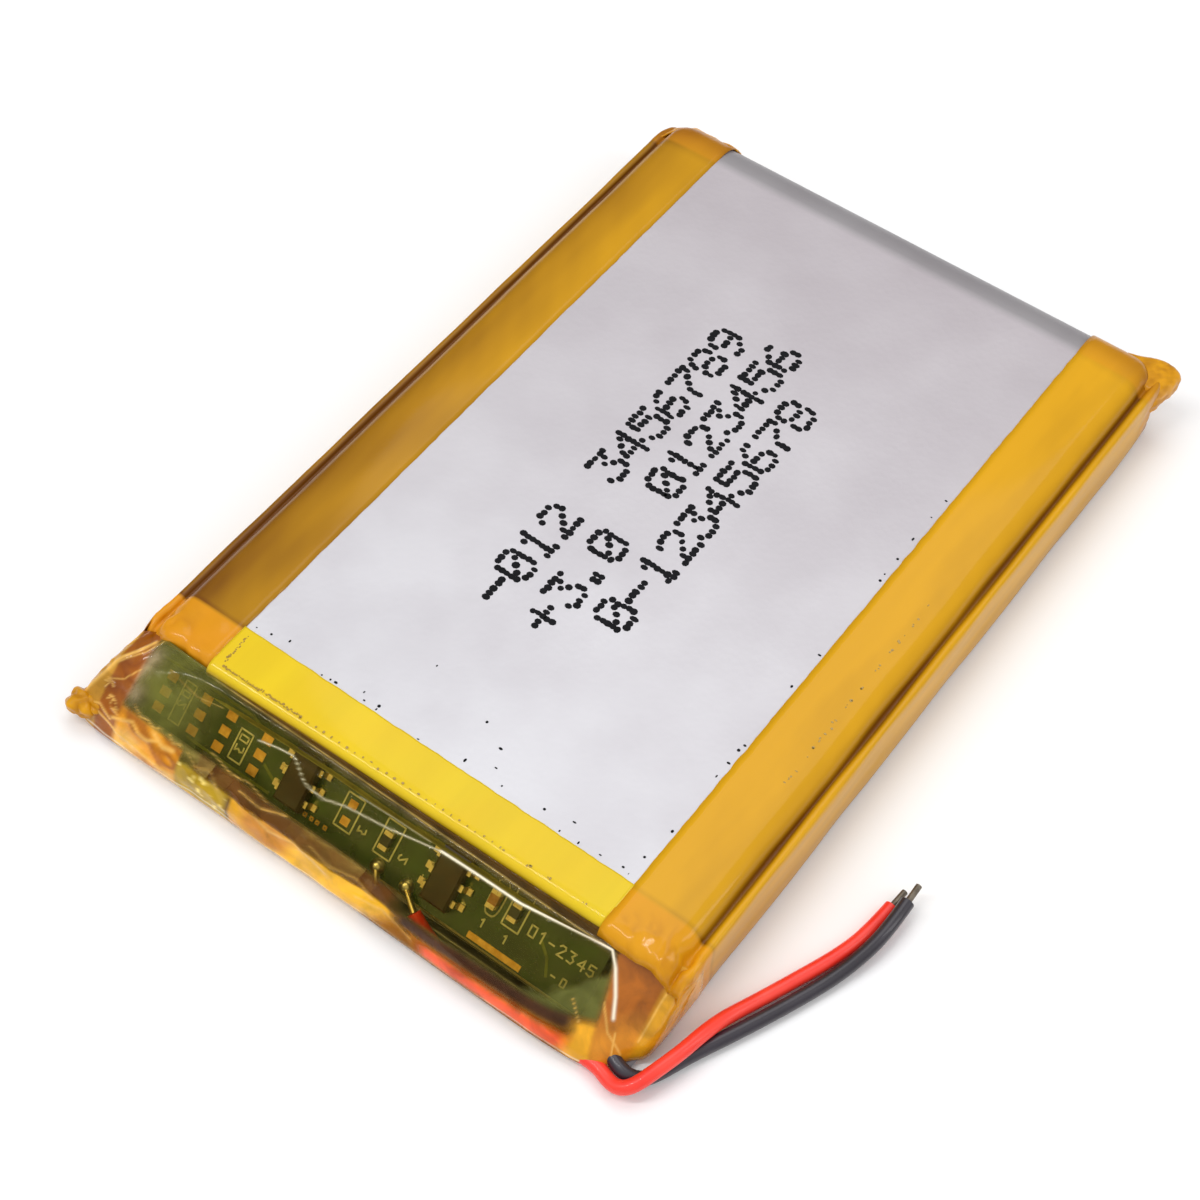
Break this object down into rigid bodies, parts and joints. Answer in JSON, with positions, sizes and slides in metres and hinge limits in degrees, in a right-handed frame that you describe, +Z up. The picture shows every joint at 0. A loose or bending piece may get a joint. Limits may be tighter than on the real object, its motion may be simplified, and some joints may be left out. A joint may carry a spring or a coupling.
{
  "type": "pouch battery cell",
  "caption": "Flat lithium pouch cell with amber side tapes, a small protection board at one end and a red and a black lead.",
  "frame": {"origin": "middle of the rectangle that the cell rests on, measured without the leads", "axes": "+X to the side where the leads leave, seen with the board end towards the viewer; +Y from the board end to the folded end; +Z up through the thickness"},
  "size_m": [0.0398, 0.0509, 0.005],
  "materials": {
    "copper_foil": "coated copper foil",
    "oxide_foil": "oxide-coated aluminium foil",
    "porous_film": "porous white polyolefin film",
    "green_tape": "thin green closing tape",
    "tab_aluminium": "rolled aluminium strip",
    "tab_nickel": "rolled nickel strip",
    "tab_resin": "pressed polypropylene resin",
    "laminate": "matte aluminium laminate film, nylon side out",
    "fish_paper": "calendered insulating paper",
    "solder_mask": "glossy green solder mask on glass laminate",
    "chip_epoxy": "moulded black epoxy",
    "tinned_metal": "bright tin plating",
    "resistor_film": "glazed black resistor film",
    "ceramic_block": "fired tan ceramic",
    "gold_plate": "thin gold over nickel",
    "red_insulation": "extruded red vinyl, semi-gloss",
    "black_insulation": "extruded black vinyl, semi-gloss",
    "solder": "reflowed solder, bright",
    "polyimide_tape": "amber polyimide film with silicone adhesive"
  },
  "bodies": {
    "root": {"anode_strip": "copper_foil", "black_bare_end": "tinned_metal", "black_joint_strands": "tinned_metal", "black_lead": "black_insulation", "black_solder_joint": "solder", "cathode_strip": "oxide_foil", "circuit_board": "solder_mask", "component_metal_ends": "tinned_metal", "filter_capacitor": "ceramic_block", "filter_resistor": "resistor_film", "front_tape": "polyimide_tape", "inner_separator": "porous_film", "left_side_tape": "polyimide_tape", "negative_tab": "tab_nickel", "negative_tab_sealant": "tab_resin", "negative_weld_plate": "tab_nickel", "outer_separator": "porous_film", "positive_tab": "tab_aluminium", "positive_tab_sealant": "tab_resin", "positive_weld_plate": "tab_nickel", "pouch_cover": "laminate", "pouch_cup": "laminate", "protection_chip": "chip_epoxy", "protection_chip_pins": "tinned_metal", "red_bare_end": "tinned_metal", "red_joint_strands": "tinned_metal", "red_lead": "red_insulation", "red_solder_joint": "solder", "right_side_tape": "polyimide_tape", "roll_fixing_tape": "green_tape", "sense_resistor": "resistor_film", "spare_pads": "gold_plate", "switching_chip": "chip_epoxy", "switching_chip_pins": "tinned_metal", "terrace_paper": "fish_paper"}
  },
  "joints": []
}
